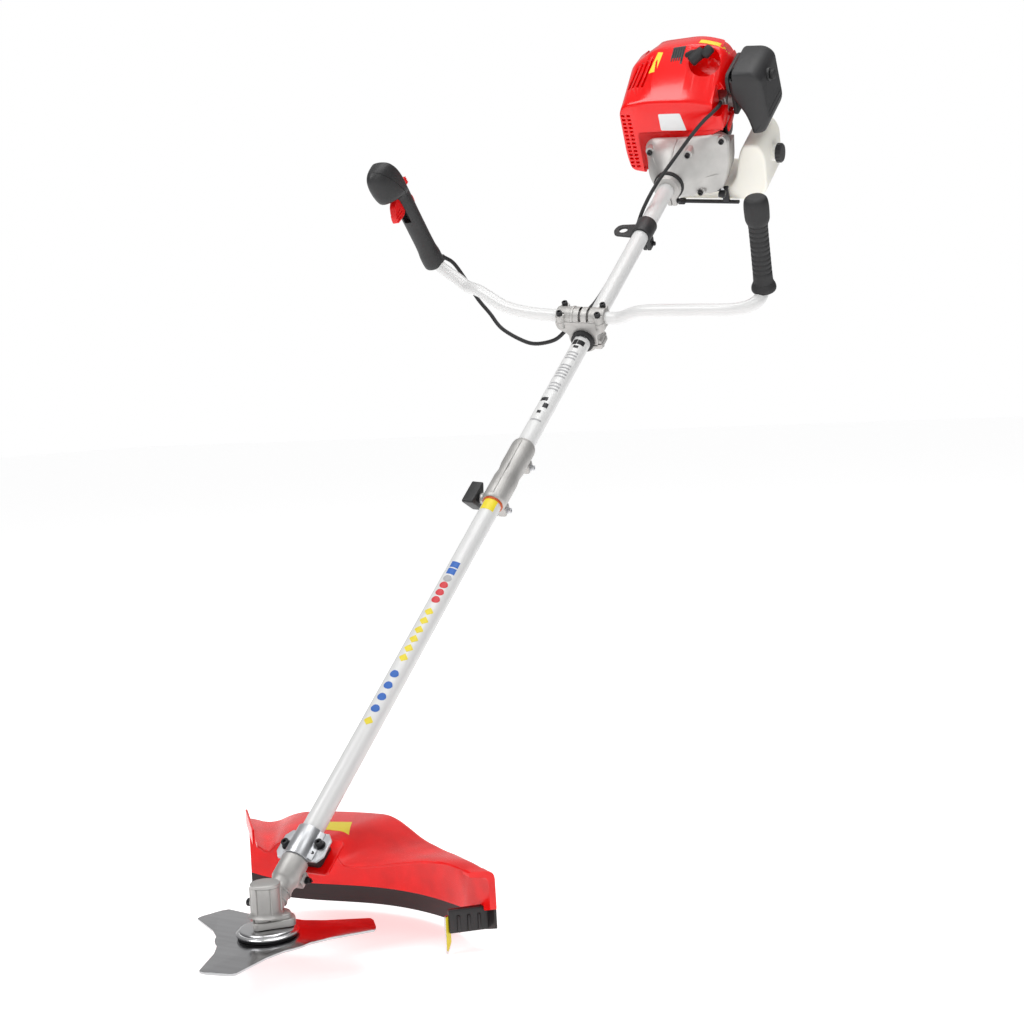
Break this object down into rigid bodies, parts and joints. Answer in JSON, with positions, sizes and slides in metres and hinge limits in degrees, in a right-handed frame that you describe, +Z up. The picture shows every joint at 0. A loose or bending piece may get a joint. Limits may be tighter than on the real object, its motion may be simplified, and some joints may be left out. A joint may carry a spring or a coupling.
{
  "type": "brush cutter",
  "caption": "Petrol brush cutter: engine and fuel tank on a jointed drive tube with a two-handed bar, harness eye, bevel gear head, toothed blade and fan-shaped guard.",
  "frame": {"origin": "middle of the harness eye, where the machine hangs from the operator's harness", "axes": "+Y from the cutting head towards the engine, +Z up along the blade's axis, +X towards the plain grip"},
  "size_m": [0.6528, 1.5636, 1.3075],
  "materials": {
    "tube_paint": "satin white paint on steel tube",
    "casting": "fine sand-cast aluminium",
    "blade_steel": "polished steel",
    "inner_steel": "machined steel",
    "zinc": "bright zinc plate",
    "black_steel": "blackened steel",
    "black_plastic": "fine textured plastic",
    "black_rubber": "matt rubber",
    "guard_red": "glossy moulded plastic",
    "shroud_red": "glossy moulded plastic",
    "control_red": "moulded plastic",
    "tank_plastic": "translucent natural polyethylene"
  },
  "bodies": {
    "machine": {"lower_tube": "tube_paint", "upper_tube": "tube_paint", "bar_left": "tube_paint", "bar_right": "tube_paint", "gear_case": "casting", "gear_case_cap": "casting", "coupling_sleeve": "casting", "clamp_base": "casting", "clamp_cap": "casting", "clutch_housing": "casting", "fan_housing": "casting", "crankcase": "casting", "cylinder": "casting", "carburettor": "casting", "line_knife": "blade_steel", "output_bearing": "inner_steel", "pinion_bearing": "inner_steel", "piston": "inner_steel", "spark_plug": "inner_steel", "muffler": "inner_steel", "guard_bracket": "zinc", "grease_plug": "black_steel", "tank_stand": "black_steel", "guard_saddle": "black_plastic", "grip_right": "black_plastic", "harness_clamp": "black_plastic", "starter_housing": "black_plastic", "filter_base": "black_plastic", "filter_cover": "black_plastic", "throttle_cable": "black_plastic", "guard_skirt": "black_rubber", "bar_rubber": "black_rubber", "grip_left": "black_rubber", "plug_boot": "black_rubber", "guard": "guard_red", "shroud": "shroud_red", "fuel_tank": "tank_plastic"},
    "cutter": {"output_shaft": "inner_steel", "bevel_wheel": "inner_steel", "adapter_disc": "blade_steel", "thrust_cup": "black_steel", "blade": "blade_steel", "lower_washer": "blade_steel", "blade_nut": "blade_steel"},
    "drive_line": {"drive_shaft": "inner_steel", "pinion": "inner_steel", "clutch_drum": "inner_steel"},
    "crank": {"crankshaft": "inner_steel", "flywheel": "casting", "clutch_shoes": "inner_steel"},
    "trigger": {"throttle_trigger": "control_red"},
    "lockout": {"lockout_lever": "black_plastic"},
    "switch": {"stop_switch": "control_red"},
    "choke": {"choke_lever": "control_red"},
    "primer": {"primer_bulb": "black_rubber"},
    "tank_cap": {"fuel_cap": "black_plastic"},
    "filter_knob": {"cover_knob": "black_plastic"},
    "tube_knob": {"coupling_knob": "black_plastic"},
    "pull_handle": {"starter_handle": "black_plastic"}
  },
  "joints": [
    {"name": "blade_spin", "type": "hinge", "parent": "machine", "child": "cutter", "pos_m": [0.03777, -1.10147, -0.90124], "axis": [0, 0, 1], "continuous": true},
    {"name": "drive_spin", "type": "hinge", "parent": "machine", "child": "drive_line", "pos_m": [0.03777, -1.10147, -0.87224], "axis": [0, 0.7859, 0.6184], "continuous": true},
    {"name": "crank_spin", "type": "hinge", "parent": "machine", "child": "crank", "pos_m": [0.03777, 0.23449, 0.17905], "axis": [0, 0.7859, 0.6184], "continuous": true},
    {"name": "trigger_pull", "type": "hinge", "parent": "machine", "child": "trigger", "pos_m": [-0.23937, -0.342, 0.0576], "axis": [0.9998, -0.0135, 0.0172], "range_deg": [0, 11], "stiffness_Nm_per_rad": 0.2, "springref_deg": -11.46},
    {"name": "lockout_press", "type": "hinge", "parent": "machine", "child": "lockout", "pos_m": [-0.23907, -0.31881, 0.0583], "axis": [0.9998, -0.0135, 0.0172], "range_deg": [-14, 0], "stiffness_Nm_per_rad": 0.1, "springref_deg": 11.46},
    {"name": "switch_slide", "type": "slide", "parent": "machine", "child": "switch", "axis": [-0.0219, -0.6269, 0.7788], "range_m": [-0.0024, 0.0024]},
    {"name": "choke_turn", "type": "hinge", "parent": "machine", "child": "choke", "pos_m": [0.14115, 0.16818, 0.20348], "axis": [0.9903, 0.0861, -0.1094], "range_deg": [-35, 0]},
    {"name": "primer_press", "type": "slide", "parent": "machine", "child": "primer", "axis": [0, 0.7859, 0.6184], "range_m": [0, 0.003], "stiffness_N_per_m": 800, "springref_m": -0.001},
    {"name": "cap_turn", "type": "hinge", "parent": "machine", "child": "tank_cap", "pos_m": [0.18297, 0.25423, 0.13779], "axis": [0.9903, 0.0861, -0.1094], "continuous": true},
    {"name": "filter_knob_turn", "type": "hinge", "parent": "machine", "child": "filter_knob", "pos_m": [0.22532, 0.15203, 0.25796], "axis": [0.9903, 0.0861, -0.1094], "continuous": true},
    {"name": "tube_knob_turn", "type": "hinge", "parent": "machine", "child": "tube_knob", "pos_m": [0.00806, -0.53666, -0.42247], "axis": [0.9903, 0.0861, -0.1094], "continuous": true},
    {"name": "starter_pull", "type": "slide", "parent": "machine", "child": "pull_handle", "axis": [0, 0.7859, 0.6184], "range_m": [0, 0.025], "stiffness_N_per_m": 100, "springref_m": -0.01}
  ],
  "couplings": [
    {"joint": "drive_spin", "follows": "blade_spin", "ratio": -1.3636}
  ]
}
